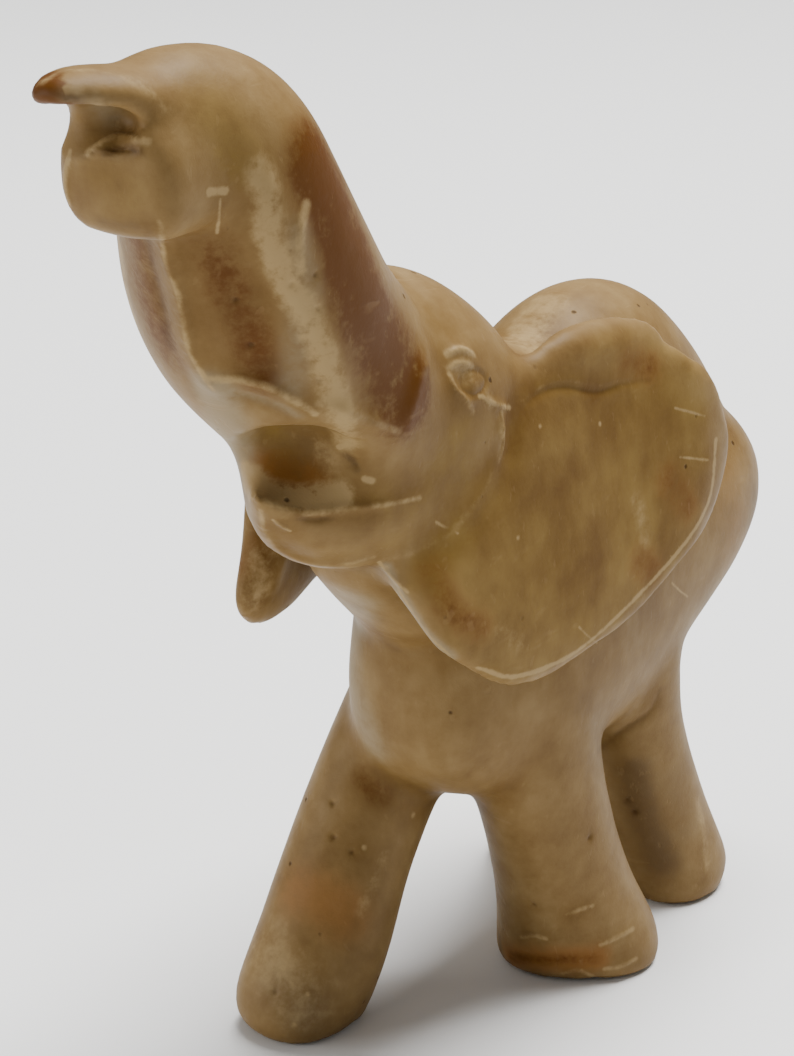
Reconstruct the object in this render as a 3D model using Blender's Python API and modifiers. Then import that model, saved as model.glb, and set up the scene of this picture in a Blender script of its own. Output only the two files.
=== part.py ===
"""A carved soapstone elephant with its trunk raised, made from one piece of stone.

Frame: +Z is up, the animal faces -Y and its left side is +X. It stands on its four soles at
Z = 0, and the origin lies under the middle of the carving's outline.
"""

import math

import bmesh
import bpy
from mathutils import Matrix, Vector
from mathutils.bvhtree import BVHTree
from mathutils.kdtree import KDTree

# Driving dimensions, in metres
HEIGHT = 0.156
EAR_THICKNESS = 0.0066
MOUTH_DEPTH = 0.0075
NOSTRIL_DEPTH = 0.009

# The pose is written in 156ths of the height, in the animal's own frame: x to its left, y to
# its back, z up from the soles. The median plane is x = 0.
UNIT = HEIGHT / 156

# Fineness of the surface
GRID = 1.0 * UNIT
RING_SIDES = 28
RINGS_PER_STRETCH = 5
DOME_RINGS = 5
STROKE_PARTS = 14
STROKE_REACH = 2.4
STROKE_FADE = 0.2
STROKE_LEAD = 0.1
TRIANGLES = 9600

# A station is (x, y, z, half width, half depth, lean in degrees): one cross-section of a limb.
BARREL = [
    (0, -13, 58.5, 13, 20, 0),
    (0, -5, 57, 16.7, 24, 0),
    (0, 8, 57.5, 19, 25, 0),
    (0, 22, 58, 19.5, 25, 0),
    (0, 34, 60.5, 19.5, 23, 0),
    (0, 44, 62.5, 19.8, 20, 0),
    (0, 52, 64, 19.4, 18, 0),
    (0, 58, 64, 18.2, 16, 0),
    (0, 61.5, 63.5, 16.5, 14, 0),
]
BACK = [
    (0, -6, 80, 13.5, 15, 0),
    (0, 4, 80.5, 14.5, 16, 0),
    (0, 16, 81.5, 15.5, 17.7, 0),
    (0, 27, 82, 15.5, 21.3, 0),
    (0, 37, 80.5, 14.8, 20.6, 0),
    (0, 45.5, 77.5, 14.5, 16.2, 0),
    (0, 52, 72.5, 15, 11.9, 0),
]
NECK = [
    (0, 4, 76, 15, 24, 0),
    (0, -8, 82, 15, 22, 0),
    (0, -20, 91.5, 15, 19.5, 0),
]
HEAD = [
    (0, -2, 91, 12.5, 8, 0),
    (0, -11, 93.3, 15.5, 12, 0),
    (0, -20, 97.2, 17, 16.8, 0),
    (0.3, -31, 100.5, 16.7, 19, 0),
    (2.2, -42, 102, 12.5, 15, 0),
]
JAW = [
    (0, -26, 93, 15, 12, 0),
    (0.6, -37, 91, 14.4, 11.5, 0),
    (1.2, -46, 92, 10.5, 9, 0),
    (1, -53, 94, 6.6, 5.5, 0),
    (0.8, -57, 95.5, 3.3, 3, 0),
]
THROAT = [
    (0, -32.5, 80.5, 10, 6.5, 0),
    (0, -26, 75, 11, 7, 0),
    (0, -18, 69, 11.5, 8, 0),
    (0, -9, 63, 12, 9, 0),
]
TRUNK = [
    (0.8, -36, 99, 14.7, 16, 0),
    (0.7, -42.5, 107.7, 15, 15.7, 0),
    (-1.9, -50, 116.5, 17.6, 15.7, 0),
    (-1.7, -55.5, 124.5, 17.4, 15.2, 0),
    (-0.8, -60.3, 133, 15.7, 14.2, 0),
    (0, -66, 141.5, 13.4, 13.3, 0),
    (0, -74, 145.5, 9.8, 10.8, 0),
    (0, -80, 145, 8, 9, 0),
]
TRUNK_END = [
    (0, -70, 143, 8.7, 8, 0),
    (0, -77, 142, 9, 7.8, 0),
    (-0.2, -84.5, 141.2, 9.2, 7.2, 0),
]
TRUNK_LIP = [
    (0, -72, 147.5, 8.5, 6, 0),
    (-1, -80, 150.3, 8, 4.4, 0),
    (-2, -87, 152.5, 6.8, 3.4, 0),
    (-2.8, -92.4, 152.8, 4.2, 2.6, 0),
]
FRONT_RIGHT_LEG = [
    (-7, 2, 50, 10, 14, 0),
    (-10.2, -7.5, 38, 9, 11.5, 0),
    (-12.3, -15.9, 24, 9.5, 9.6, 0),
    (-13.1, -22, 12, 10, 9.7, 0),
    (-14.6, -26.7, 3, 9.4, 10.5, 0),
    (-15.2, -27.8, 0, 8.4, 9.7, 0),
]
FRONT_LEFT_LEG = [
    (8, 2, 50, 10, 14, 0),
    (8.3, 3, 38, 9.5, 11.5, 0),
    (9.4, 6.5, 24, 9.6, 10, 0),
    (10.2, 10.2, 12, 10.8, 10, -16),
    (11, 12.7, 3, 13, 10.3, -30),
    (11, 12.8, 0, 12.8, 10, -32),
]
HIND_LEFT_LEG = [
    (8, 31, 54, 10, 13, 0),
    (8.5, 30.3, 42, 9.3, 9.5, 0),
    (9, 33.3, 30, 8.5, 8.5, 0),
    (10.3, 39.2, 14, 8.5, 9, 0),
    (11.5, 43, 3, 9.5, 10, 0),
    (11.7, 44, 0, 9, 9.5, 0),
]
HIND_RIGHT_LEG = [
    (-8, 32, 54, 10, 13, 0),
    (-9, 33, 42, 9.5, 10, 0),
    (-10, 36.5, 30, 8.5, 8.5, 0),
    (-10.6, 40, 14, 8.5, 9, 0),
    (-11, 42.3, 3, 9.5, 10, 0),
    (-11, 43, 0, 9, 9.5, 0),
]
LEGS = (FRONT_RIGHT_LEG, FRONT_LEFT_LEG, HIND_LEFT_LEG, HIND_RIGHT_LEG)

# An ear's station is (x, y, z, half height, lean in degrees); its thickness is a size above.
# The ears are hand-carved: the right one sits a little higher and stops shorter in front.
LEFT_EAR = [
    (9.8, -37.8, 80.2, 3, 8),
    (12, -35.3, 79.2, 6.7, 8),
    (14.2, -31.7, 78.3, 12.3, 8),
    (15.4, -25.7, 78.6, 18.5, 8),
    (16.5, -17.2, 79.7, 22, 8),
    (17.8, -7, 82, 23, 8),
    (18.6, 4, 83.3, 23, 8),
    (20, 13, 84.3, 20.6, 8),
    (21.5, 20, 85, 17.4, 8),
    (22.3, 25, 86.6, 13, 6),
    (22.5, 28, 88, 9, 4),
]
RIGHT_EAR = [
    (14.5, -33.5, 76, 7, 8),
    (16.5, -31.8, 75.5, 12, 8),
    (17.5, -28, 77.5, 16, 8),
    (17.8, -22, 81.5, 18.5, 8),
    (18, -13, 85, 18.5, 8),
    (18.6, 0, 87, 18.5, 8),
    (20, 11, 87.5, 18, 8),
    (21.5, 19, 87.5, 16, 8),
    (22.3, 24.5, 88, 12, 6),
    (22.5, 27.5, 88.5, 8, 4),
]

# A stroke of the rasp follows the skin past these (x, y, z) points. STROKES says how far each
# stands out, or is cut in where that is negative, its half width, and on which sides it is.
TRUNK_KEEL = [(1, -78, 133), (-0.5, -71.5, 124.5), (-1.5, -68.5, 117), (-0.5, -65, 111)]
TRUNK_SIDE_RIDGE = [
    (11, -72, 142.5),
    (13, -64.5, 129.5),
    (13.5, -61, 122.5),
    (13, -57, 114),
    (11.5, -53, 105),
]
TRUNK_FACE = [(7, -72, 133), (7, -66.5, 123), (6.5, -62, 114)]
TIP_LOWER_LIP = [(-5, -85.5, 144), (-1.5, -85.5, 146), (1.5, -85, 147), (6, -85, 147)]
UPPER_LIP = [(0, -64, 112.5), (3, -65, 113), (6, -63, 112), (9.5, -57, 107.5)]
MOUTH_FOLD = [
    (10, -57.5, 109),
    (13.5, -49.5, 105),
    (14.5, -45, 102.5),
    (15.5, -43, 106.5),
    (14.5, -38.5, 112),
]
LOWER_LIP = [(-1, -58, 95.5), (2.5, -58, 95), (4.5, -56.5, 93.5), (8, -52.5, 92.5), (11.5, -45.5, 92)]
JAW_RIM = [
    (1.5, -58, 93),
    (-0.5, -54.5, 89),
    (-1.5, -49.5, 85),
    (1, -46.5, 83),
    (6.5, -44, 82.5),
    (9.5, -39.5, 82),
    (13.5, -35.5, 84),
    (16.5, -30, 87.5),
    (17, -24.5, 92.5),
    (17, -22.5, 100),
]
CHEEK_GROOVE = [(9, -39, 81), (14, -36, 83), (17, -29.5, 86.5), (17, -22, 93.5), (16.5, -19.5, 100)]
BROW = [(14, -32.5, 110), (14.5, -29.5, 109.5), (15, -27.5, 108)]
EYE_SOCKET = [(15.5, -31.5, 106.5), (16, -29.5, 105.5)]
EYE_RING = [(15, -33.5, 107.5), (15.5, -33, 105.5), (16.5, -31, 103.5), (16.5, -28, 103.5)]
EAR_FOLD = [
    (17, -17.5, 99),
    (17.5, -12.5, 100),
    (18.5, -7, 99),
    (19.5, -0.5, 97),
    (20.5, 6, 96.5),
    (21.5, 13, 95.5),
]
EAR_LOBE = [(18.3, -6, 103.5), (19, 2, 102.5), (20.5, 10, 101)]

# The hollows are egg-shaped and open forwards: centre, half width, half height and tilt.
MOUTH = ((5.2, -54.5, 100), 8.2, 5.6, -20)
MOUTH_CORNER = ((9.8, -51.5, 98), 5, 3.4, -20)
CORNER_SHARE = 0.6
NOSTRIL = ((-1, -90.5, 148.7), 7.5, 3.4, 0)

LEFT = (1,)
BOTH = (1, -1)
STROKES = [
    (0.9, 1.5, LEFT, TRUNK_KEEL),
    (0.9, 1.9, LEFT, TRUNK_SIDE_RIDGE),
    (-1.0, 3.6, LEFT, TRUNK_FACE),
    (0.8, 1.2, LEFT, TIP_LOWER_LIP),
    (0.9, 1.4, LEFT, UPPER_LIP),
    (0.9, 1.5, LEFT, MOUTH_FOLD),
    (0.9, 1.4, LEFT, LOWER_LIP),
    (0.9, 1.8, LEFT, JAW_RIM),
    (-1.1, 1.5, BOTH, CHEEK_GROOVE),
    (0.7, 1.2, BOTH, BROW),
    (-0.7, 1.2, BOTH, EYE_SOCKET),
    (0.6, 1.1, BOTH, EYE_RING),
    (-1.3, 1.5, BOTH, EAR_FOLD),
    (1.2, 4.5, BOTH, EAR_LOBE),
]


def clear_scene():
    for thing in list(bpy.data.objects):
        bpy.data.objects.remove(thing, do_unlink=True)


def smooth_value(before, start, end, after, share):
    """A Catmull-Rom value between start and end."""
    slope_in = (end - before) / 2
    slope_out = (after - start) / 2
    bend = 2 * (start - end) + slope_in + slope_out
    ease = 3 * (end - start) - 2 * slope_in - slope_out
    return start + share * (slope_in + share * (ease + share * bend))


def densify(stations, parts=RINGS_PER_STRETCH):
    """The stations with smoothly placed ones between them."""
    dense = []
    last = len(stations) - 1
    for index in range(last):
        around = [stations[max(0, min(last, index + step))] for step in (-1, 0, 1, 2)]
        for part in range(parts):
            share = part / parts
            dense.append([smooth_value(*values, share) for values in zip(*around)])
    dense.append(list(stations[last]))
    return dense


def ring_points(centre, along, half_width, half_depth, lean, squareness, front):
    """One cross-section: an oval across the direction along, with a front half of its own squareness."""
    side = Vector((1, 0, 0))
    side = (side - side.project(along)).normalized()
    turn = Matrix.Rotation(math.radians(lean), 3, along)
    side = turn @ side
    depth = along.cross(side)
    points = []
    for step in range(RING_SIDES):
        angle = math.tau * step / RING_SIDES
        power = 2 / (front if 2 * step > RING_SIDES else squareness)
        across = math.copysign(abs(math.cos(angle)) ** power, math.cos(angle))
        deep = math.copysign(abs(math.sin(angle)) ** power, math.sin(angle))
        points.append(centre + side * (half_width * across) + depth * (half_depth * deep))
    return points


def loft(form, stations, squareness=(2.0, 2.0), front=None, dome=(0.0, 0.0)):
    """A closed limb through the stations, with a dome of the given length at each end."""
    front = front or squareness
    dense = densify(stations)
    centres = [Vector(station[:3]) for station in dense]
    last = len(dense) - 1
    rings = []
    for index, (_, _, _, half_width, half_depth, lean) in enumerate(dense):
        along = centres[min(index + 1, last)] - centres[max(index - 1, 0)]
        along.normalize()
        rings.append((centres[index], along, half_width, half_depth, lean))

    def domed(ring, length, sign):
        centre, along, half_width, half_depth, lean = ring
        extra = []
        for step in range(1, DOME_RINGS + 1):
            angle = math.pi / 2 * step / (DOME_RINGS + 0.4)
            shrink = math.cos(angle)
            moved = centre + along * (sign * length * math.sin(angle))
            extra.append((moved, along, half_width * shrink, half_depth * shrink, lean))
        return extra

    if dome[0]:
        rings = domed(rings[0], dome[0], -1)[::-1] + rings
    if dome[1]:
        rings = rings + domed(rings[-1], dome[1], 1)

    loops = []
    for index, ring in enumerate(rings):
        share = index / (len(rings) - 1)
        round_power = squareness[0] + share * (squareness[1] - squareness[0])
        front_power = front[0] + share * (front[1] - front[0])
        points = ring_points(*ring, round_power, front_power)
        loops.append([form.verts.new(point * UNIT) for point in points])
    for lower, upper in zip(loops, loops[1:]):
        for step in range(RING_SIDES):
            after = (step + 1) % RING_SIDES
            form.faces.new((lower[step], lower[after], upper[after], upper[step]))
    form.faces.new(loops[0][::-1])
    form.faces.new(loops[-1])


def ear_stations(stations, side):
    """An ear's stations on its side of the head: 1 is the animal's left, -1 its right."""
    half_thickness = EAR_THICKNESS / UNIT / 2
    return [
        (side * x, y, z, half_thickness, half_height, -side * lean)
        for x, y, z, half_height, lean in stations
    ]


def object_from(form, name, collection):
    bmesh.ops.recalc_face_normals(form, faces=form.faces)
    mesh = bpy.data.meshes.new(name)
    form.to_mesh(mesh)
    form.free()
    thing = bpy.data.objects.new(name, mesh)
    collection.objects.link(thing)
    return thing


def apply_modifiers(thing):
    """Replaces the object's mesh by its evaluated one."""
    bpy.context.view_layer.update()
    evaluated = thing.evaluated_get(bpy.context.evaluated_depsgraph_get())
    mesh = bpy.data.meshes.new_from_object(evaluated)
    thing.modifiers.clear()
    thing.data = mesh


def fuse(thing, passes):
    """Turns overlapping limbs into one skin and softens where they meet."""
    remesh = thing.modifiers.new("one skin", "REMESH")
    remesh.mode = "VOXEL"
    remesh.voxel_size = GRID
    soften = thing.modifiers.new("soften", "SMOOTH")
    soften.factor = 0.5
    soften.iterations = passes
    apply_modifiers(thing)


def cut(thing, cutter):
    boolean = thing.modifiers.new("cut", "BOOLEAN")
    boolean.operation = "DIFFERENCE"
    boolean.solver = "EXACT"
    boolean.object = cutter
    apply_modifiers(thing)


def line_on_skin(skin, points, side):
    """A smooth line that lies on the skin, past the given points, on one side of the animal."""
    line = densify(points, STROKE_PARTS)
    nearest = [skin.find_nearest(Vector((side * x, y, z)) * UNIT)[0] for x, y, z in line]
    tree = KDTree(len(nearest))
    for index, place in enumerate(nearest):
        tree.insert(place, index)
    tree.balance()
    return tree, len(nearest) - 1


def rasp(thing):
    """Raises the ridges and cuts the grooves, each fading out at its ends."""
    form = bmesh.new()
    form.from_mesh(thing.data)
    form.normal_update()
    skin = BVHTree.FromBMesh(form)
    moves = [0.0] * len(form.verts)
    for rise, half_width, sides, points in STROKES:
        for side in sides:
            line, last = line_on_skin(skin, points, side)
            for number, vertex in enumerate(form.verts):
                _, index, distance = line.find(vertex.co)
                away = distance / (half_width * UNIT)
                if away < STROKE_REACH:
                    share = index / last
                    start_fade = (share + STROKE_LEAD) / STROKE_FADE
                    end_fade = (1 + STROKE_LEAD - share) / STROKE_FADE
                    fade = min(1, start_fade, end_fade)
                    moves[number] += rise * UNIT * fade * math.exp(-away * away)
    for vertex, move in zip(form.verts, moves):
        vertex.co += vertex.normal * move
    form.to_mesh(thing.data)
    form.free()


def hollow_out(thing, name, egg, depth, cutters):
    """Cuts an egg-shaped hollow, tilted about the animal's left-to-right line."""
    centre, half_width, half_height, tilt = egg
    bpy.ops.mesh.primitive_uv_sphere_add(segments=24, ring_count=14, radius=1)
    cutter = bpy.context.object
    cutter.name = name
    place = Matrix.Translation(Vector(centre) * UNIT)
    turn = Matrix.Rotation(math.radians(tilt), 4, "X")
    size = Matrix.Diagonal((half_width * UNIT, depth, half_height * UNIT, 1))
    cutter.data.transform(place @ turn @ size)
    for collection in list(cutter.users_collection):
        collection.objects.unlink(cutter)
    cutters.objects.link(cutter)
    cutter.hide_render = True
    cutter.display_type = "WIRE"
    cut(thing, cutter)


def stone():
    material = bpy.data.materials.new("soapstone")
    material.use_nodes = True
    shader = material.node_tree.nodes["Principled BSDF"]
    shader.inputs["Base Color"].default_value = (0.33, 0.21, 0.115, 1)
    shader.inputs["Roughness"].default_value = 0.42
    shader.inputs["Metallic"].default_value = 0.0
    return material


def trim_soles(thing):
    """Cuts every foot flat at Z = 0."""
    form = bmesh.new()
    form.from_mesh(thing.data)
    everything = form.verts[:] + form.edges[:] + form.faces[:]
    bmesh.ops.bisect_plane(
        form,
        geom=everything,
        dist=0.000001,
        plane_co=(0, 0, 0),
        plane_no=(0, 0, 1),
        clear_inner=True,
    )
    rim = [edge for edge in form.edges if edge.is_boundary]
    bmesh.ops.holes_fill(form, edges=rim, sides=0)
    bmesh.ops.triangulate(form, faces=form.faces)
    bmesh.ops.recalc_face_normals(form, faces=form.faces)
    form.to_mesh(thing.data)
    form.free()


def centre_on_origin(thing):
    """Moves the carving so that the middle of its outline, seen from above, is the origin."""
    xs = [vertex.co.x for vertex in thing.data.vertices]
    ys = [vertex.co.y for vertex in thing.data.vertices]
    thing.location = (-(min(xs) + max(xs)) / 2, -(min(ys) + max(ys)) / 2, 0)


def carve_elephant(collection, cutters):
    form = bmesh.new()
    loft(form, BARREL, squareness=(2.6, 2.0), dome=(9, 6))
    loft(form, BACK, dome=(6, 8))
    loft(form, NECK)
    loft(form, HEAD, dome=(6, 6))
    loft(form, JAW, dome=(6, 2))
    loft(form, THROAT, dome=(3, 6))
    loft(form, TRUNK, front=(1.9, 1.6), dome=(0, 2))
    loft(form, TRUNK_END, squareness=(3.5, 3.5), dome=(0, 1))
    loft(form, TRUNK_LIP, dome=(2, 2))
    for leg in LEGS:
        loft(form, leg, squareness=(2.0, 2.4), dome=(0, 3))
    elephant = object_from(form, "elephant", collection)
    fuse(elephant, passes=20)

    form = bmesh.new()
    form.from_mesh(elephant.data)
    loft(form, ear_stations(LEFT_EAR, 1), squareness=(2.8, 2.8), dome=(1.5, 1.5))
    loft(form, ear_stations(RIGHT_EAR, -1), squareness=(2.8, 2.8), dome=(1.5, 1.5))
    form.to_mesh(elephant.data)
    form.free()
    fuse(elephant, passes=3)
    rasp(elephant)

    hollow_out(elephant, "mouth cutter", MOUTH, MOUTH_DEPTH, cutters)
    hollow_out(elephant, "mouth corner cutter", MOUTH_CORNER, CORNER_SHARE * MOUTH_DEPTH, cutters)
    hollow_out(elephant, "nostril cutter", NOSTRIL, NOSTRIL_DEPTH, cutters)

    decimate = elephant.modifiers.new("coarser", "DECIMATE")
    decimate.ratio = TRIANGLES / sum(len(face.vertices) - 2 for face in elephant.data.polygons)
    apply_modifiers(elephant)
    trim_soles(elephant)
    centre_on_origin(elephant)
    elephant.data.shade_smooth()
    elephant.data.set_sharp_from_angle(angle=math.radians(50))
    elephant.data.materials.append(stone())
    return elephant


clear_scene()
parts = bpy.data.collections.new("soapstone elephant")
cutters = bpy.data.collections.new("cutters")
bpy.context.scene.collection.children.link(parts)
bpy.context.scene.collection.children.link(cutters)
carve_elephant(parts, cutters)
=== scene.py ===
"""The looks of a soapstone elephant: one carved and polished stone figure with its trunk thrown back."""

import math

import bmesh
import bpy
import numpy as np
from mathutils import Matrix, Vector
from mathutils.bvhtree import BVHTree
from mathutils.kdtree import KDTree


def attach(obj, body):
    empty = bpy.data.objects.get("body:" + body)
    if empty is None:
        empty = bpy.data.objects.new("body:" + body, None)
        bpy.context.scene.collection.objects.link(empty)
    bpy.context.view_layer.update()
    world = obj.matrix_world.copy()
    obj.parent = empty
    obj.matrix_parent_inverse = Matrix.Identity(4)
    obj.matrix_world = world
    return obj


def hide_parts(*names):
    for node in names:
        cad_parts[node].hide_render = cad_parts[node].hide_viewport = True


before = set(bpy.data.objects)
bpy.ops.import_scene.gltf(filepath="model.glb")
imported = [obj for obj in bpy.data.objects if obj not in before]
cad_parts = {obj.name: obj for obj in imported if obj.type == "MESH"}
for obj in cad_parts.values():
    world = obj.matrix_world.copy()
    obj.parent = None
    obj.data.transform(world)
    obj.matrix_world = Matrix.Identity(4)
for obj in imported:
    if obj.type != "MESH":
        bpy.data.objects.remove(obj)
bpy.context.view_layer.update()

scene = bpy.context.scene
MM = 0.001


# The camera
# It looks down on the figure's left front at 20 degrees, from 0.45 m.
# The strokes and stains further down are placed through it, as pixels of its 794 x 1056 frame.

FRAME_WIDE = 794
FRAME_HIGH = 1056
FOCAL_PIXELS = 3015
SENSOR = 36.0
VIEW_TURN = math.radians(32)
VIEW_RISE = math.radians(20)
VIEW_DISTANCE = 450 * MM
AIM = Vector((-14, 13, 70)) * MM

back = Vector((
    math.sin(VIEW_TURN) * math.cos(VIEW_RISE),
    -math.cos(VIEW_TURN) * math.cos(VIEW_RISE),
    math.sin(VIEW_RISE),
))
lens = bpy.data.cameras.new("camera")
lens.sensor_width = SENSOR
lens.lens = SENSOR * FOCAL_PIXELS / FRAME_HIGH
lens.clip_start = 0.01
camera = bpy.data.objects.new("camera", lens)
camera.location = AIM + back * VIEW_DISTANCE
camera.rotation_euler = (-back).to_track_quat("-Z", "Y").to_euler()
scene.collection.objects.link(camera)
scene.camera = camera
bpy.context.view_layer.update()


def sight_line(column, row):
    """The direction in which the camera sees one pixel of its frame."""
    across = (column - FRAME_WIDE / 2) / FOCAL_PIXELS
    upward = (FRAME_HIGH / 2 - row) / FOCAL_PIXELS
    return (camera.matrix_world.to_3x3() @ Vector((across, upward, -1))).normalized()


def seen_at(points):
    """The pixels at which the camera sees some points."""
    turn = np.array(camera.matrix_world.to_3x3())
    local = (points - np.array(camera.location)) @ turn
    columns = FRAME_WIDE / 2 - FOCAL_PIXELS * local[:, 0] / local[:, 2]
    rows = FRAME_HIGH / 2 + FOCAL_PIXELS * local[:, 1] / local[:, 2]
    return np.stack([columns, rows], axis=1)


# The stone
# One block of soapstone, roughed out, rasped round and rubbed smooth, with no plinth and nothing joined on.
# It starts as an even skin over the solid, and the chisel and the rasp then mark that skin.

MERGE = 0.001 * MM
SKIN_VOXEL = 0.92 * MM
SKIN_SMOOTHING = 4


def take_modifiers(thing):
    """Gives an object the mesh that its modifiers make, and drops the modifiers."""
    bpy.context.view_layer.update()
    graph = bpy.context.evaluated_depsgraph_get()
    finished = bpy.data.meshes.new_from_object(thing.evaluated_get(graph))
    thing.modifiers.clear()
    thing.data = finished


def skin_over(node, name):
    """An even and smooth copy of a solid, as an object of its own."""
    skin = bpy.data.objects.new(name, node.data.copy())
    scene.collection.objects.link(skin)
    form = bmesh.new()
    form.from_mesh(skin.data)
    bmesh.ops.remove_doubles(form, verts=form.verts, dist=MERGE)
    form.to_mesh(skin.data)
    form.free()
    rounding = skin.modifiers.new("rounding", "SUBSURF")
    rounding.levels = 2
    rounding.render_levels = 2
    even = skin.modifiers.new("even", "REMESH")
    even.mode = "VOXEL"
    even.voxel_size = SKIN_VOXEL
    even.adaptivity = 0
    smooth = skin.modifiers.new("smooth", "SMOOTH")
    smooth.factor = 0.5
    smooth.iterations = SKIN_SMOOTHING
    take_modifiers(skin)
    return skin


def points_of(mesh):
    """The places and the outward directions of a mesh's points, as arrays."""
    places = np.empty(len(mesh.vertices) * 3, np.float32)
    mesh.vertices.foreach_get("co", places)
    outward = np.empty(len(mesh.vertices) * 3, np.float32)
    mesh.vertex_normals.foreach_get("vector", outward)
    return places.reshape(-1, 3).astype(float), outward.reshape(-1, 3).astype(float)


def surface_of(thing):
    """The object's surface as something that a line of sight can meet."""
    bpy.context.view_layer.update()
    return BVHTree.FromObject(thing, bpy.context.evaluated_depsgraph_get())


def edges_of(mesh):
    """The two ends of every edge, and how many edges meet at each point."""
    ends = np.empty(len(mesh.edges) * 2, np.int32)
    mesh.edges.foreach_get("vertices", ends)
    return ends.reshape(-1, 2).T, np.bincount(ends, minlength=len(mesh.vertices))


def averaged(values, ends, degree):
    """Each point's values as the mean of its neighbours' values."""
    first, second = ends
    columns = []
    for column in values.T:
        total = np.bincount(first, column[second], len(degree))
        total += np.bincount(second, column[first], len(degree))
        columns.append(total / degree)
    return np.stack(columns, axis=1)


elephant = skin_over(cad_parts["elephant"], "carved_elephant")
surface = surface_of(elephant)

# Chisel marks, stains and painted light
# The carver's cuts are kept as lines on the stone until all are known, each with a rise and a half width.
# Stains, painted sheens and painted shade are kept in the same way, with the name of their colour, a half
# width and a strength.

LEFT = "left"
BOTH = "both"
PIXELS_PER_MM = 6.7
PATH_STEP = 0.25

cuts = []
stains_and_lights = []


def smooth_path(corners, spacing):
    """A smooth curve through some pixels, as points a spacing apart in millimetres."""
    corners = np.array(corners, float)
    if len(corners) < 2:
        return corners
    corners = np.vstack([2 * corners[0] - corners[1], corners, 2 * corners[-1] - corners[-2]])
    curve = []
    for before, start, end, after in zip(corners, corners[1:], corners[2:], corners[3:]):
        count = max(2, int(np.linalg.norm(end - start) / (spacing * PIXELS_PER_MM)))
        for t in np.linspace(0, 1, count, endpoint=False):
            bend = start + 0.5 * t * (end - before)
            bend += t * t * (before - 2.5 * start + 2 * end - 0.5 * after)
            bend += t ** 3 * (1.5 * (start - end) + 0.5 * (after - before))
            curve.append(bend)
    curve.append(corners[-2])
    return np.array(curve)


def on_stone(pixels):
    """The points of the stone that the camera sees at some pixels."""
    found = []
    for column, row in pixels:
        hit = surface.ray_cast(camera.location, sight_line(column, row))[0]
        if hit is not None:
            found.append(np.array(hit))
    return np.array(found)


def on_sides(line, sides):
    """A line with its mirror image on the figure's other side, where it is wanted there as well."""
    if sides == LEFT:
        return [line]
    other = line * np.array([-1, 1, 1])
    return [line, np.array([surface.find_nearest(Vector(point))[0] for point in other])]


def cut(rise, width, pixels, sides=LEFT):
    """Notes a ridge of a rise and a half width in millimetres, or a groove where the rise is negative."""
    for line in on_sides(on_stone(smooth_path(pixels, PATH_STEP)), sides):
        cuts.append((line, rise * MM, width * MM))


def stain_or_light(colour, width, strength, pixels, sides=LEFT):
    """Notes a stroke or, from a single pixel, a spot of a colour, for a stain or for painted light or
    shade.
    """
    for line in on_sides(on_stone(smooth_path(pixels, width / 3)), sides):
        stains_and_lights.append((colour, line, width * MM, strength))


# The scooped places
# The mouth and the nostril were scooped with a gouge and the ears rasped, and then all were rubbed soft.
# Each place has the pixels of its middle, a reach in millimetres, and how many times it is rubbed.

RUB_FALL = 1.6
MOUTH_SCOOP = [(285, 466), (330, 476)]
NOSTRIL_SCOOP = [(84, 112)]
EAR_FOLD_RUB = [(535, 398), (568, 390), (600, 392), (655, 380)]
EAR_FACE_RUB = [(470, 580), (560, 500), (630, 450)]
RUBBED = (
    (MOUTH_SCOOP, 9.5, 85, LEFT),
    (NOSTRIL_SCOOP, 5.5, 36, LEFT),
    (EAR_FOLD_RUB, 7.0, 24, BOTH),
    (EAR_FACE_RUB, 17.0, 14, BOTH),
)

for middle, width, rounds, sides in RUBBED:
    places, outward = points_of(elephant.data)
    ends, degree = edges_of(elephant.data)
    rubbed = np.vstack(on_sides(on_stone(smooth_path(middle, 1)), sides))
    gaps = [np.linalg.norm(places - point, axis=1) for point in rubbed]
    share = np.clip(RUB_FALL - RUB_FALL * np.min(gaps, axis=0) / (width * MM), 0, 1)[:, None]
    for _ in range(rounds):
        places += share * (averaged(places, ends, degree) - places)
    elephant.data.vertices.foreach_set("co", places.astype(np.float32).ravel())
    elephant.data.update()
surface = surface_of(elephant)

# The trunk
# It is thrown straight up and curls over, with a blunt keel down its front and a worn ridge down each side.
# The rasp left the ridges, and handling has rubbed the near one pale.

TRUNK_KEEL = [(160, 222), (165, 257), (175, 283), (180, 299), (190, 350), (213, 390)]
KEEL_HOLLOW = [(146, 226), (150, 262), (160, 300), (170, 345)]
TRUNK_STREAK = [
    (262, 172), (268, 205), (272, 245), (285, 278), (300, 305), (318, 340), (332, 385), (345, 440),
]
STREAK_FORK = [(306, 206), (301, 225), (299, 250), (299, 272)]
TRUNK_SHADE = [(318, 165), (335, 205), (350, 255), (368, 310), (395, 365), (410, 400)]
FAR_FLANK = [(138, 250), (147, 300), (166, 352)]
STREAK_SHEEN = [(297, 235), (305, 280), (300, 335), (292, 385)]
TRUNK_PITS = [(292, 283), (316, 275), (318, 308), (320, 380), (236, 300), (251, 345)]
TRUNK_FACE = [(215, 250), (240, 310), (265, 375)]
BEND_HIGHLIGHT = [(209, 192), (226, 191)]
BEND_STREAK = [(220, 200), (219, 216), (217, 233)]
BEND_SIDE = [(195, 90), (222, 120), (245, 160)]

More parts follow.
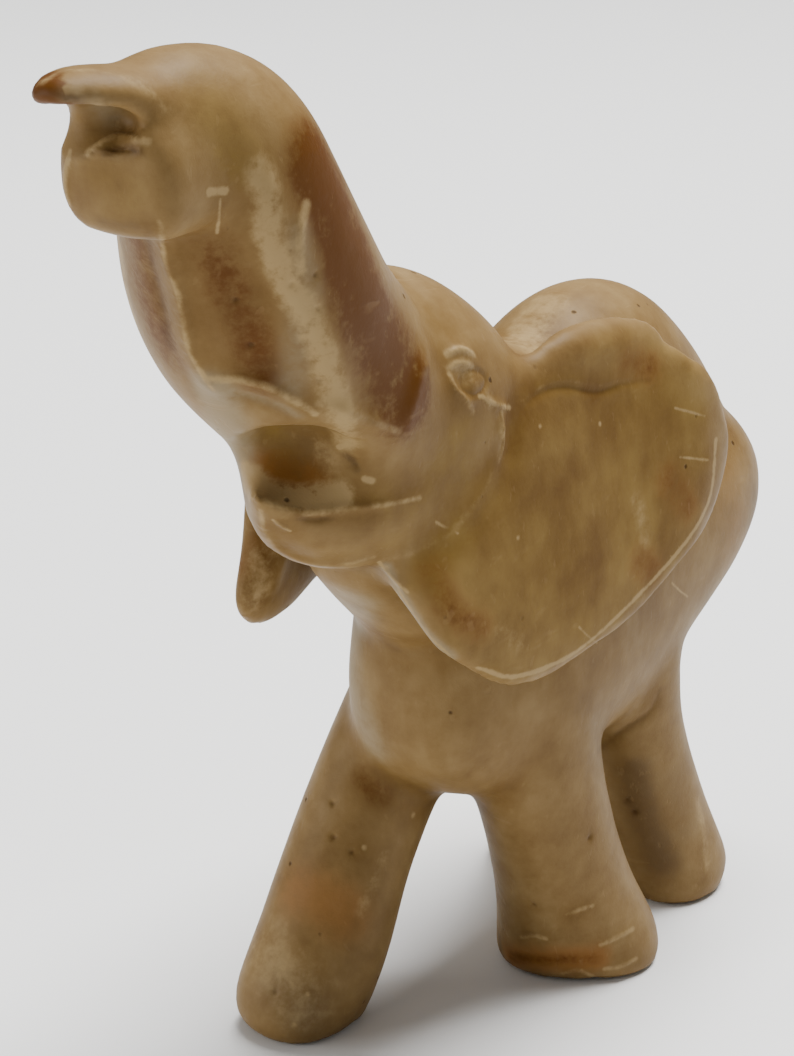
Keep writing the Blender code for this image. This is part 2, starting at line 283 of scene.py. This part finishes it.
cut(0.3, 0.8, TRUNK_KEEL)
cut(-0.3, 1.4, KEEL_HOLLOW)
cut(0.3, 1.8, TRUNK_STREAK)
cut(0.3, 1.0, STREAK_FORK)
stain_or_light("pale", 0.6, 0.6, TRUNK_KEEL)
# The dark along the keel's hollow is painted shade.
stain_or_light("dark", 2.0, 0.5, KEEL_HOLLOW)
stain_or_light("rust", 5.0, 0.6, FAR_FLANK)
stain_or_light("grey", 3.0, 0.6, STREAK_SHEEN)
stain_or_light("pale", 2.6, 0.75, TRUNK_STREAK, BOTH)
stain_or_light("pale", 1.2, 0.6, STREAK_FORK)
stain_or_light("rust", 6.0, 1.25, TRUNK_SHADE)
stain_or_light("rust", 6.0, 0.6, TRUNK_SHADE, BOTH)
stain_or_light("rust", 4.0, 0.7, TRUNK_FACE)
# A painted highlight on the underside of the bend.
stain_or_light("pale", 0.6, 1.0, BEND_HIGHLIGHT)
stain_or_light("pale", 0.35, 0.8, BEND_STREAK)
stain_or_light("olive", 4.5, 0.8, BEND_SIDE, BOTH)
for pit in TRUNK_PITS:
    cut(-0.3, 0.5, [pit])
    stain_or_light("dark", 0.5, 0.6, [pit])

# The trunk's tip
# A long thin upper lip over a scooped nostril, and under it a block with a lower lip along its top edge.

TIP_TOP = [(39, 83), (68, 70), (108, 73), (137, 83), (169, 110)]
TIP_LOWER_LIP = [(87, 153), (100, 145), (121, 137), (148, 142)]
TIP_CREASE = [(104, 153), (120, 148), (140, 152)]
TIP_END = [(70, 152), (66, 180), (71, 212)]
TIP_FACE = [(100, 175), (125, 190), (120, 212)]
TIP_FOOT = [(100, 222), (118, 226), (136, 226)]
NOSTRIL_FILL_LIGHT = [(75, 98), (95, 104), (112, 115)]
LIP_TIP = [(34, 86), (40, 96), (52, 104)]

cut(0.45, 0.8, TIP_LOWER_LIP)
cut(-0.4, 0.7, TIP_CREASE)
cut(0.3, 0.6, TIP_END)
stain_or_light("pale", 1.2, 0.45, TIP_TOP)
stain_or_light("pale", 0.7, 0.8, TIP_LOWER_LIP)
# The dark in the crease under the lower lip is a painted shadow.
stain_or_light("dark", 0.8, 0.9, TIP_CREASE)
stain_or_light("pale", 0.6, 0.7, TIP_END)
stain_or_light("olive", 4.0, 0.8, TIP_FACE)
# The dark band along the foot of the tip's block is painted shade under it.
stain_or_light("dark", 1.2, 0.7, TIP_FOOT)
# The grey in the nostril is painted light, lifting the shade of its deep scoop.
stain_or_light("grey", 2.4, 0.6, NOSTRIL_FILL_LIGHT)
stain_or_light("rust", 3.2, 2.2, LIP_TIP)

# The mouth
# An open scoop with a raised lip round it, a small chip inside, and a heavier rim below for jaw and cheek.

UPPER_LIP = [(206, 380), (222, 379), (240, 379), (265, 386), (290, 397), (315, 414)]
LIP_SHELF = [(225, 391), (250, 397), (275, 405), (298, 416)]
CHEEK_FOLD = [(318, 403), (346, 411), (374, 422), (399, 432)]
FOLD_RETURN = [(401, 430), (414, 402), (425, 352)]
LOWER_LIP = [(245, 492), (265, 500), (287, 509), (307, 513), (326, 511), (345, 508), (380, 505), (420, 498)]
LIP_SHADOW = [(298, 518), (314, 519), (332, 518)]
JAW_RIM = [(261, 511), (265, 531), (279, 548), (301, 559), (323, 563), (351, 562), (374, 557)]
CHEEK_RIM = [(385, 560), (430, 545), (470, 510), (497, 455), (505, 405)]
JAW_STROKE = [(379, 562), (393, 577), (407, 592)]
CHIN_LINE = [(273, 520), (282, 525), (290, 531)]
CHIP = [(347, 455), (354, 462), (357, 470)]
FAR_CHEEK_SHEEN = [(213, 392), (226, 425), (238, 462)]
MOUTH_ROOF = [(272, 438), (285, 448)]
MOUTH_FLOOR = [(258, 470), (285, 475), (308, 482)]
MOUTH_EDGE = [(246, 478), (266, 490), (300, 497), (338, 496)]
MOUTH_CORNER_SHEEN = [(318, 440), (330, 470)]
CHIP_EDGE = [(339, 447), (346, 445)]
CORNER_NICK = [(365, 479), (372, 481)]

cut(0.35, 0.8, UPPER_LIP)
cut(-0.3, 1.0, LIP_SHELF)
cut(0.4, 1.0, CHEEK_FOLD)
cut(0.25, 1.2, FOLD_RETURN)
cut(0.35, 0.8, LOWER_LIP)
cut(-0.35, 0.7, LIP_SHADOW)
cut(0.4, 1.0, JAW_RIM)
cut(0.3, 1.4, CHEEK_RIM)
cut(0.25, 0.5, JAW_STROKE)
cut(0.25, 0.4, CHIN_LINE)
cut(-0.25, 0.7, CHIP)
stain_or_light("pale", 0.8, 0.6, UPPER_LIP)
stain_or_light("grey", 1.2, 0.6, LIP_SHELF)
stain_or_light("pale", 0.9, 0.5, CHEEK_FOLD)
stain_or_light("pale", 0.6, 0.6, LOWER_LIP)
stain_or_light("dark", 0.7, 0.6, LIP_SHADOW)
stain_or_light("pale", 0.7, 0.5, JAW_RIM)
stain_or_light("pale", 1.2, 0.35, CHEEK_RIM)
stain_or_light("pale", 0.4, 0.9, JAW_STROKE)
stain_or_light("pale", 0.35, 0.7, CHIN_LINE)
stain_or_light("olive", 3.5, 0.9, MOUTH_ROOF)
stain_or_light("orange", 3.4, 1.0, MOUTH_FLOOR)
# The grey on the far cheek is a painted sheen.
stain_or_light("grey", 3.4, 1.3, FAR_CHEEK_SHEEN)
stain_or_light("pale", 2.2, 1.2, MOUTH_EDGE)
# The pale at the mouth's corner is a painted sheen.
stain_or_light("pale", 2.2, 0.45, MOUTH_CORNER_SHEEN)
stain_or_light("dark", 0.8, 0.6, CHIP)
stain_or_light("pale", 0.5, 1.0, CHIP_EDGE)
stain_or_light("pale", 0.6, 0.9, CORNER_NICK)

# The eyes
# Each is a small bored bead in a ring, with two brow strokes above it, cut with the corner of a chisel.

BROW = [(446, 354), (460, 349), (474, 354)]
LOWER_BROW = [(448, 368), (460, 363), (474, 367)]
EYE_RING = [(449, 373), (455, 389), (466, 400), (474, 411)]
EYE_GROOVE = [
    (459, 377), (463, 389), (473, 395), (483, 390), (486, 379), (478, 371), (466, 370), (459, 377),
]
EYE_BEAD = (472, 383)
EYE_CORNER = [(480, 396), (497, 405), (510, 408)]
TEAR_LINE = [(501, 411), (502, 442), (498, 461)]
EYE_SHEEN = [(462, 368), (478, 384), (490, 398)]
CHEEK_GREEN = [(380, 525), (430, 490), (462, 435)]
CHEEK_NICKS = [[(436, 522), (446, 528)], [(447, 527), (457, 533)]]

cut(0.3, 0.5, BROW, BOTH)
cut(0.3, 0.5, LOWER_BROW, BOTH)
cut(0.3, 0.5, EYE_RING, BOTH)
cut(-0.25, 0.5, EYE_GROOVE, BOTH)
cut(0.3, 0.8, [EYE_BEAD], BOTH)
cut(0.3, 0.6, EYE_CORNER, BOTH)
cut(0.3, 0.5, TEAR_LINE, BOTH)
stain_or_light("pale", 2.4, 0.45, EYE_SHEEN, BOTH)
stain_or_light("pale", 0.8, 0.6, BROW, BOTH)
stain_or_light("pale", 0.8, 0.6, LOWER_BROW, BOTH)
stain_or_light("pale", 0.8, 0.6, EYE_RING, BOTH)
stain_or_light("dark", 0.5, 0.25, EYE_GROOVE, BOTH)
stain_or_light("pale", 0.5, 1.0, EYE_CORNER, BOTH)
stain_or_light("pale", 1.1, 0.5, TEAR_LINE, BOTH)
stain_or_light("olive", 7.5, 0.75, CHEEK_GREEN, BOTH)
for nick in CHEEK_NICKS:
    stain_or_light("pale", 0.3, 0.8, nick)

# The ears
# Each is a broad flat flap laid back along the shoulder, rasped and less rubbed, so duller and greener.
# A crease sets its upper lobe a little proud of the rest.

EAR_FOLD = [(521, 407), (544, 392), (568, 387), (597, 392), (623, 384), (650, 380)]
FOLD_HIGHLIGHT = [(521, 401), (544, 386), (568, 381), (597, 386), (623, 378)]
EAR_OUTLINE = [
    (505, 400), (544, 357), (615, 324), (673, 334), (700, 354), (712, 420), (708, 492), (691, 548),
    (658, 592), (614, 630), (556, 665), (518, 683), (497, 684), (477, 677), (447, 654), (424, 630),
    (403, 598), (390, 572), (430, 545), (470, 510), (500, 450),
]
EAR_RIM_HIGHLIGHT = [(716, 440), (708, 503), (671, 560), (585, 645), (519, 676), (478, 668)]
EAR_FRONT_SHEEN = [(386, 566), (405, 600), (428, 634), (450, 656)]
EAR_PATCHES = [
    [(432, 575), (452, 610), (480, 628)], [(668, 480), (688, 505)],
    [(628, 362), (650, 366)], [(640, 562), (652, 568)],
]
EAR_BARE = [[(500, 632), (520, 642)], [(636, 500), (646, 540)]]
EAR_FLECKS = [(540, 426), (600, 424), (518, 538)]
EAR_SCRATCHES = [
    [(672, 583), (680, 591), (688, 597)], [(579, 627), (588, 636), (597, 643)], [(675, 408), (705, 416)],
    [(680, 457), (708, 460)],
]

cut(-0.35, 0.6, EAR_FOLD, BOTH)
# The pale line above the crease is a painted highlight, and the dark in the crease is painted shade.
stain_or_light("pale", 0.6, 0.3, FOLD_HIGHLIGHT, BOTH)
stain_or_light("dark", 0.7, 0.35, EAR_FOLD, BOTH)
# The pale along the rim is a painted highlight, and the grey and pale along the front edge a painted sheen.
stain_or_light("pale", 0.5, 0.9, EAR_RIM_HIGHLIGHT)
stain_or_light("grey", 1.2, 1.0, EAR_FRONT_SHEEN)
stain_or_light("pale", 0.5, 0.6, EAR_FRONT_SHEEN)
for patch in EAR_PATCHES:
    stain_or_light("orange", 4.0, 0.5, patch, BOTH)
    stain_or_light("rust", 3.0, 0.5, patch, BOTH)
for bare in EAR_BARE:
    stain_or_light("pale", 2.6, 0.4, bare, BOTH)
for fleck in EAR_FLECKS:
    stain_or_light("pale", 0.5, 0.7, [fleck])
for scratch in EAR_SCRATCHES:
    stain_or_light("pale", 0.3, 0.6, scratch)

# The body and legs
# A low belly crease marks off the flank, and the feet are stained and knocked along their lower edges.

BELLY_CREASE = [(598, 750), (625, 730), (650, 712), (660, 690)]
CHEST_SHEEN = [(358, 600), (352, 680), (372, 745)]
FOOT_FILL_LIGHT = [(285, 985), (305, 1012)]
FOOT_SHEEN = [(268, 950), (298, 1000)]
FAR_LOBE = [(262, 560), (256, 600)]
RUMP = [(725, 470), (738, 540), (715, 610)]
NECK_SHEEN = [(522, 345), (545, 305)]
INNER_LEG_SHADE = [(632, 772), (645, 820), (662, 862)]
HIND_SHEEN = [(698, 800), (704, 835), (706, 868)]
HIND_LEG_SHADE = [(675, 780), (684, 830)]
FOOT_STROKES = [
    [(567, 915), (580, 909), (592, 906)], [(520, 938), (533, 935), (546, 939)],
    [(601, 945), (617, 937), (633, 929)], [(605, 969), (620, 966), (636, 959)],
    [(562, 974), (578, 970), (594, 977)],
]
FOOT_BAND = [(512, 957), (550, 960), (595, 958)]
FOOT_DARK = [(499, 935), (502, 965)]
FOOT_EDGE_SHEEN = [(493, 885), (500, 922)]
FRONT_LEG_RUST = [(300, 890), (325, 900), (345, 915)]
FRONT_LEG_SHADE = [(365, 780), (378, 795)]
FRONT_LEG_PALE = [(262, 850), (256, 905), (254, 945)]
FRONT_LEG_RIDGE = [(385, 855), (372, 890), (360, 915)]
LEG_PITS = [(332, 803), (333, 837), (352, 852), (275, 992), (627, 800), (634, 812), (533, 905), (590, 838)]
LEG_FLECKS = [(283, 968), (308, 994), (294, 1025), (364, 848), (413, 815)]

cut(-0.3, 0.9, BELLY_CREASE, BOTH)
# The dark along the belly crease is painted shade.
stain_or_light("dark", 0.9, 0.5, BELLY_CREASE, BOTH)
stain_or_light("grey", 4.0, 0.8, CHEST_SHEEN)
# The grey on the right front foot is painted fill light over its grey tan.
stain_or_light("grey", 5.0, 0.6, FOOT_FILL_LIGHT)
stain_or_light("pale", 7.5, 0.44, FOOT_SHEEN)
stain_or_light("pale", 4.0, 0.6, FAR_LOBE)
stain_or_light("orange", 9.0, 0.4, RUMP)
stain_or_light("pale", 5.0, 0.6, NECK_SHEEN)
stain_or_light("dark", 3.6, 1.1, INNER_LEG_SHADE)
stain_or_light("dark", 4.5, 0.5, HIND_LEG_SHADE)
stain_or_light("pale", 1.5, 0.5, HIND_SHEEN)
stain_or_light("orange", 2.8, 1.1, FOOT_BAND)
stain_or_light("rust", 1.5, 0.6, FOOT_BAND)
stain_or_light("dark", 1.0, 0.8, FOOT_DARK)
# The grey down the left front foot's outer edge is a painted sheen.
stain_or_light("grey", 1.5, 0.7, FOOT_EDGE_SHEEN)
stain_or_light("orange", 5.0, 0.9, FRONT_LEG_RUST)
stain_or_light("rust", 3.0, 0.6, FRONT_LEG_SHADE)
stain_or_light("pale", 1.6, 0.5, FRONT_LEG_PALE)
stain_or_light("pale", 1.6, 0.5, FRONT_LEG_RIDGE)
for stroke in FOOT_STROKES:
    cut(0.2, 0.5, stroke)
    stain_or_light("pale", 0.6, 0.6, stroke)
for pit in LEG_PITS:
    cut(-0.3, 0.5, [pit])
    stain_or_light("dark", 0.45, 0.7, [pit])
for fleck in LEG_FLECKS:
    stain_or_light("pale", 0.6, 0.8, [fleck])

# The carving
# The skin is made finer round the cuts and the narrow stains and painted lights, and the cuts are then sunk
# and raised.

FINE_REACHES = (1.5 * MM, 0.7 * MM)
NARROW = 0.75 * MM
END_FADE = 0.3
CUT_REACH = 2.4

form = bmesh.new()
form.from_mesh(elephant.data)
fine_lines = [line for line, rise, width in cuts]
fine_lines += [line for colour, line, width, strength in stains_and_lights if width < NARROW]
fine_points = np.vstack([line for line in fine_lines if len(line)])
nearest = KDTree(len(fine_points))
for number, point in enumerate(fine_points):
    nearest.insert(point, number)
nearest.balance()
for reach in FINE_REACHES:
    bmesh.ops.triangulate(form, faces=form.faces)
    close = {vert for vert in form.verts if nearest.find(vert.co)[2] < reach}
    halved = [edge for edge in form.edges if edge.verts[0] in close and edge.verts[1] in close]
    bmesh.ops.subdivide_edges(form, edges=halved, cuts=1, use_grid_fill=True, use_single_edge=True)
bmesh.ops.triangulate(form, faces=form.faces)
form.to_mesh(elephant.data)
form.free()
places, outward = points_of(elephant.data)


def near_line(line, reach):
    """The points within reach of a line: their numbers, distance, share along it and how they face it."""
    low = line.min(axis=0) - reach
    high = line.max(axis=0) + reach
    near = np.flatnonzero(np.all((places > low) & (places < high), axis=1))
    gaps = np.linalg.norm(places[near][:, None, :] - line[None, :, :], axis=2)
    closest = gaps.argmin(axis=1)
    distance = gaps.min(axis=1)
    face = np.array([surface.find_nearest(Vector(point))[1] for point in line])
    facing = np.einsum("ij,ij->i", outward[near], face[closest])
    kept = distance < reach
    return near[kept], distance[kept], (closest / max(1, len(line) - 1))[kept], facing[kept]


for line, rise, width in cuts:
    near, distance, share, facing = near_line(line, CUT_REACH * width)
    lift = rise * np.exp(-(distance / width) ** 2) * np.clip(2 * facing, 0, 1)
    if len(line) > 1:
        lift *= np.clip(np.minimum(share, 1 - share) / END_FADE, 0, 1)
    places[near] += outward[near] * lift[:, None]
elephant.data.vertices.foreach_set("co", places.astype(np.float32).ravel())
elephant.data.update()
elephant.data.shade_smooth()
places, outward = points_of(elephant.data)

# The stains and the painted light
# The hollows are darkened as painted shade, and every edge is paled, partly as rubbed wear and partly as a
# painted highlight.
# Each colour is kept as a share at every point of the stone, for the material to break up.

HOLLOW_ROUNDS = 30
HOLLOW_DEPTH = 0.40 * MM
EAR_ROUNDS = 6
EAR_THICKNESS = 5 * MM
EAR_FACING = 0.4
EAR_INNER = 12 * MM
STAIN_REACH = 2.2

shares = {name: np.zeros(len(places)) for name in ("pale", "rust", "orange", "olive", "dark", "grey")}
for colour, line, width, strength in stains_and_lights:
    near, distance, share, facing = near_line(line, STAIN_REACH * width)
    tint = strength * np.exp(-(distance / width) ** 2) * np.clip(2 * facing + 0.3, 0, 1)
    shares[colour][near] = np.maximum(shares[colour][near], tint)


def inside(outline, pixels):
    """Which pixels lie inside an outline."""
    within = np.zeros(len(pixels), bool)
    column, row = pixels.T
    for (x0, y0), (x1, y1) in zip(outline, outline[1:] + outline[:1]):
        crosses = (y0 > row) != (y1 > row)
        edge_at = x0 + (row - y0) * (x1 - x0) / (y1 - y0 + 1e-9)
        within ^= crosses & (column < edge_at)
    return within


on_left = places * np.where(places[:, :1] < 0, [[-1, 1, 1]], [[1, 1, 1]])
ear = inside(EAR_OUTLINE, seen_at(on_left))
ear &= (np.abs(outward[:, 0]) > EAR_FACING) & (np.abs(places[:, 0]) > EAR_INNER)
for number in np.flatnonzero(ear):
    point = Vector(on_left[number])
    hit = surface.ray_cast(camera.location, (point - camera.location).normalized())[0]
    ear[number] = hit is not None and (hit - point).length < EAR_THICKNESS
ends, degree = edges_of(elephant.data)
calm = places.copy()
ear = ear.astype(float)[:, None]
for _ in range(HOLLOW_ROUNDS):
    calm = averaged(calm, ends, degree)
for _ in range(EAR_ROUNDS):
    ear = averaged(ear, ends, degree)
# The hollow share darkens the hollows as painted shade; the edge share pales every edge, partly as rubbed
# wear and partly as a painted highlight.
depth = np.einsum("ij,ij->i", calm - places, outward) / HOLLOW_DEPTH
shares["hollow"] = np.clip(depth, 0, 1)
shares["edge"] = np.clip(-depth, 0, 1)
shares["ear"] = ear[:, 0]
for name, values in shares.items():
    layer = elephant.data.attributes.new(name, "FLOAT", "POINT")
    layer.data.foreach_set("value", values.astype(np.float32))


# The colour of the stone
# Tan soapstone with olive and rust in it, rubbed to a soft gloss, with pits and fine scratches; grey and
# pale carry stone colour and painted sheen and highlights, dark carries painted shade and dark pits.


class Wire:
    """One socket of a material, so that shader maths is written as sums and products."""

    def __init__(self, tree, socket=None):
        self.tree = tree
        self.socket = socket

    def add(self, kind, settings, values, output=0):
        """Adds a node, makes its settings, then sets or links its sockets."""
        node = self.tree.nodes.new(kind)
        for name, value in settings.items():
            if name == "stops":
                self.set_stops(node.color_ramp, value)
            else:
                setattr(node, name, value)
        for name, value in values.items():
            if isinstance(value, Wire):
                self.tree.links.new(value.socket, node.inputs[name])
            else:
                node.inputs[name].default_value = value
        return Wire(self.tree, node.outputs[output]) if node.outputs else None

    @staticmethod
    def set_stops(ramp, stops):
        """Gives a colour ramp its stops."""
        while len(ramp.elements) < len(stops):
            ramp.elements.new(1)
        for element, (place, colour) in zip(ramp.elements, stops):
            element.position = place
            element.color = colour

    def maths(self, operation, first, second):
        return self.add("ShaderNodeMath", {"operation": operation}, {0: first, 1: second})

    def __add__(self, other):
        return self.maths("ADD", self, other)

    def __radd__(self, other):
        return self.maths("ADD", other, self)

    def __sub__(self, other):
        return self.maths("SUBTRACT", self, other)

    def __rsub__(self, other):
        return self.maths("SUBTRACT", other, self)

    def __mul__(self, other):
        return self.maths("MULTIPLY", self, other)

    def __rmul__(self, other):
        return self.maths("MULTIPLY", other, self)

    def between(self, low, high):
        """Nought under the first value and one over the second, with a smooth rise between."""
        return self.add(
            "ShaderNodeMapRange", {"interpolation_type": "SMOOTHSTEP"},
            {"Value": self, "From Min": low, "From Max": high},
        )

    def turned(self, colour, share):
        """This colour turned into another by a share."""
        return self.add("ShaderNodeMix", {"data_type": "RGBA"}, {0: share, 6: self, 7: colour}, 2)


def pigment(red, green, blue):
    """A colour from the values that a screen shows it with, 0 to 255."""
    return tuple((value / 255) ** 2.2 for value in (red, green, blue)) + (1.0,)


def soapstone():
    """Rubbed tan soapstone, mottled and stained, with painted shade and sheen, pits, flecks and hair
    scratches in a soft gloss.
    """
    material = bpy.data.materials.new("soapstone")
    material.use_nodes = True
    tree = material.node_tree
    tree.nodes.clear()
    start = Wire(tree)
    place = start.add("ShaderNodeTexCoord", {}, {}, "Object")

    def noise(scale, detail, roughness=0.6, at=place):
        return start.add(
            "ShaderNodeTexNoise", {},
            {"Vector": at, "Scale": scale, "Detail": detail, "Roughness": roughness},
        )

    def share(name):
        return start.add("ShaderNodeAttribute", {"attribute_name": name}, {}, "Fac")

    clouds = noise(42.0, 5.0)
    mottle = noise(170.0, 5.0, 0.65)
    speckle = noise(650.0, 4.0, 0.7)
    grain = noise(2200.0, 2.0)
    ragged = (mottle - 0.5) * 1.1 + (speckle - 0.5) * 0.8
    upright = start.add("ShaderNodeMapping", {}, {"Vector": place, "Scale": (1.0, 1.0, 0.16)})
    grained = noise(260.0, 3.0, 0.6, upright)

    stone = start.add(
        "ShaderNodeValToRGB",
        {"stops": [
            (0.36, pigment(96, 72, 39)), (0.50, pigment(109, 85, 50)), (0.64, pigment(122, 99, 64)),
        ]},
        {0: 0.50 * clouds + 0.35 * mottle + 0.15 * grained},
    )
    moss = start.add(
        "ShaderNodeValToRGB", {"stops": [(0.38, pigment(88, 63, 27)), (0.62, pigment(116, 92, 46))]},
        {0: 0.7 * clouds + 0.3 * mottle},
    )
    worn = 1.0 + ragged * 1.3
    torn = 1.0 + ragged * 2.0
    stone = stone.turned(moss, (share("olive") * worn + share("ear") * 0.9).between(0.1, 1.0) * 0.85)
    stone = stone.turned(pigment(121, 81, 38), (share("orange") * worn).between(0.1, 1.0) * 0.85)
    stone = stone.turned(pigment(80, 47, 6), (share("rust") * torn).between(0.15, 0.95) * 0.92)
    # The grey share is mostly painted sheen, with painted fill light on a foot and in the nostril.
    stone = stone.turned(pigment(124, 110, 86), (share("grey") * worn).between(0.1, 1.0) * 0.8)
    # The dark share is painted shade in creases and under parts, plus dark pits; the hollow share is
    # painted shade.
    shade_and_grime = share("dark") * worn + share("hollow") * (0.45 - share("ear") * 0.35)
    stone = stone.turned(pigment(60, 40, 20), shade_and_grime.between(0.1, 1.1) * 0.75)
    # Every convex edge is paled, partly as rubbed wear and partly as a painted highlight.
    worn_and_lit_edges = share("edge") * (0.36 - share("rust") * 0.5).between(0.0, 0.36) * worn
    stone = stone.turned(pigment(154, 130, 92), worn_and_lit_edges * 0.16)
    # The pale share is rubbed wear together with painted highlights and sheen.
    stone = stone.turned(pigment(147, 124, 86), (share("pale") * torn).between(0.22, 0.78) * 0.85)

    cells = start.add("ShaderNodeTexVoronoi", {}, {"Vector": place, "Scale": 240.0}, "Distance")
    cell_luck = start.add("ShaderNodeTexVoronoi", {}, {"Vector": place, "Scale": 240.0}, "Color")
    luck = start.add("ShaderNodeSeparateColor", {}, {0: cell_luck}, "Red")
    pits = (0.12 - cells + (speckle - 0.5) * 0.2).between(0.0, 0.08) * luck.between(0.78, 0.84)
    stone = stone.turned(pigment(44, 26, 12), pits * 0.7)

    def combed(turn, scale):
        """Fine streaks that run one way, as the rasp and the rubbing cloth leave them."""
        along = start.add("ShaderNodeMapping", {}, {"Vector": place, "Rotation": turn, "Scale": scale})
        return noise(900.0, 2.0, 0.5, along)

    rubbed = combed((0.5, 0.3, 0.2), (1.0, 0.10, 0.45))
    rasped = combed((-0.4, 0.8, 0.1), (0.12, 1.0, 0.5))
    scratches = rubbed.between(0.63, 0.72) * clouds.between(0.45, 0.6) + rasped.between(0.66, 0.74) * 0.7
    stone = stone.turned(pigment(150, 124, 86), scratches * 0.14)

    height = mottle * 0.5 + speckle * 0.25 + grain * 0.06 - pits * 0.6 - scratches * 0.12
    bump = start.add("ShaderNodeBump", {}, {"Strength": 0.5, "Distance": 0.0004, "Height": height})
    gloss = 0.40 + speckle * 0.16 + share("ear") * 0.14 + pits * 0.2
    finish = start.add(
        "ShaderNodeBsdfPrincipled", {},
        {"Base Color": stone, "Roughness": gloss, "Normal": bump, "Specular IOR Level": 0.09},
    )
    start.add("ShaderNodeOutputMaterial", {}, {"Surface": finish})
    return material


elephant.data.materials.clear()
elephant.data.materials.append(soapstone())
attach(elephant, "root")
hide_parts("elephant")


# The studio
# A pale table top and soft white light from large panels, with nothing else in the room.

FLOOR_SIZE = 6.0

table_form = bmesh.new()
bmesh.ops.create_grid(table_form, x_segments=1, y_segments=1, size=FLOOR_SIZE / 2)
table_mesh = bpy.data.meshes.new("table_top")
table_form.to_mesh(table_mesh)
table_form.free()
table_top = bpy.data.objects.new("table_top", table_mesh)
scene.collection.objects.link(table_top)
pale_table = bpy.data.materials.new("pale_table")
pale_table.use_nodes = True
pale_table.node_tree.nodes["Principled BSDF"].inputs["Base Color"].default_value = (0.86, 0.86, 0.85, 1)
pale_table.node_tree.nodes["Principled BSDF"].inputs["Roughness"].default_value = 0.6
table_mesh.materials.append(pale_table)


def panel(name, place, size, watts):
    """A square soft light that faces the figure."""
    light = bpy.data.lights.new(name, "AREA")
    light.size = size
    light.energy = watts
    lamp = bpy.data.objects.new(name, light)
    lamp.location = place
    lamp.rotation_euler = (AIM - lamp.location).to_track_quat("-Z", "Y").to_euler()
    scene.collection.objects.link(lamp)


panel("top_panel", Vector((0.05, 0.45, 1.35)), 0.9, 56)
panel("left_panel", Vector((-0.7, -0.7, 0.16)), 0.6, 7.0)
room = bpy.data.worlds.new("room")
room.use_nodes = True
room.node_tree.nodes["Background"].inputs["Color"].default_value = (1, 1, 1, 1)
room.node_tree.nodes["Background"].inputs["Strength"].default_value = 0.3
scene.world = room
